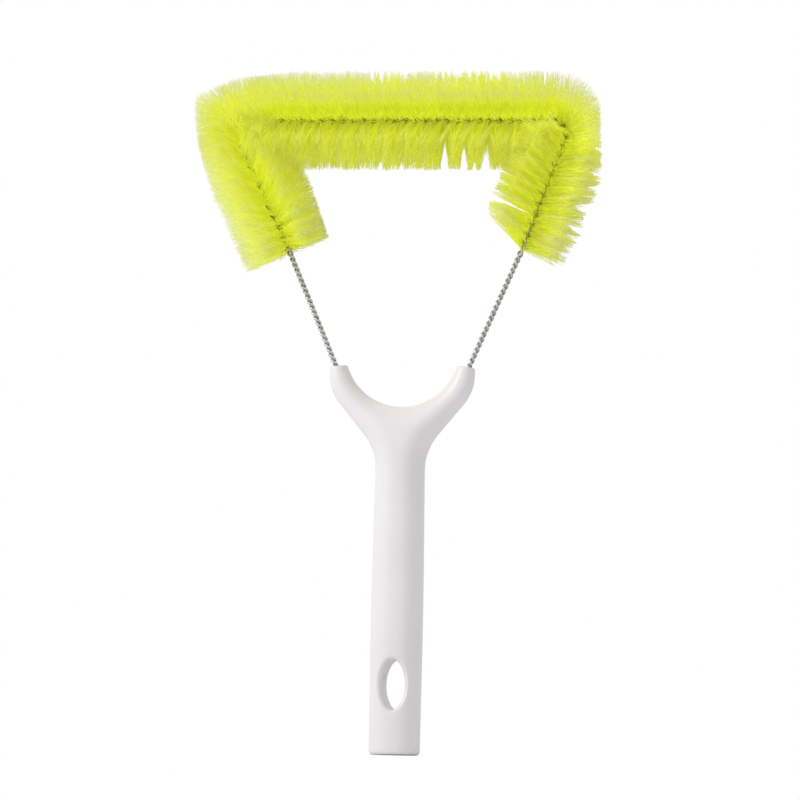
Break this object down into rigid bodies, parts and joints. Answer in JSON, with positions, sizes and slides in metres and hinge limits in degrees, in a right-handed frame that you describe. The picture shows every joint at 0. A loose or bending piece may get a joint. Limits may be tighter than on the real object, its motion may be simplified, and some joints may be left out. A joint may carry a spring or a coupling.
{
  "type": "window cleaning brush",
  "caption": "Window cleaning brush: a white forked plastic handle with an oval hang hole carries a bent loop of twisted steel wire with lime bristles round its far end.",
  "frame": {"origin": "middle of the flat end of the handle's butt", "axes": "+Z along the handle from the butt to the bristled bar, +X to the right in the plane of the wire loop, -Y towards the front"},
  "size_m": [0.1534, 0.0372, 0.26],
  "materials": {
    "white_plastic": "satin moulded polypropylene",
    "steel_wire": "bright drawn wire",
    "lime_filament": "fine polyester filament"
  },
  "bodies": {
    "root": {"handle": "white_plastic", "wire_strand_a": "steel_wire", "wire_strand_b": "steel_wire", "left_bristles": "lime_filament", "top_bristles": "lime_filament", "right_bristles": "lime_filament"}
  },
  "joints": []
}
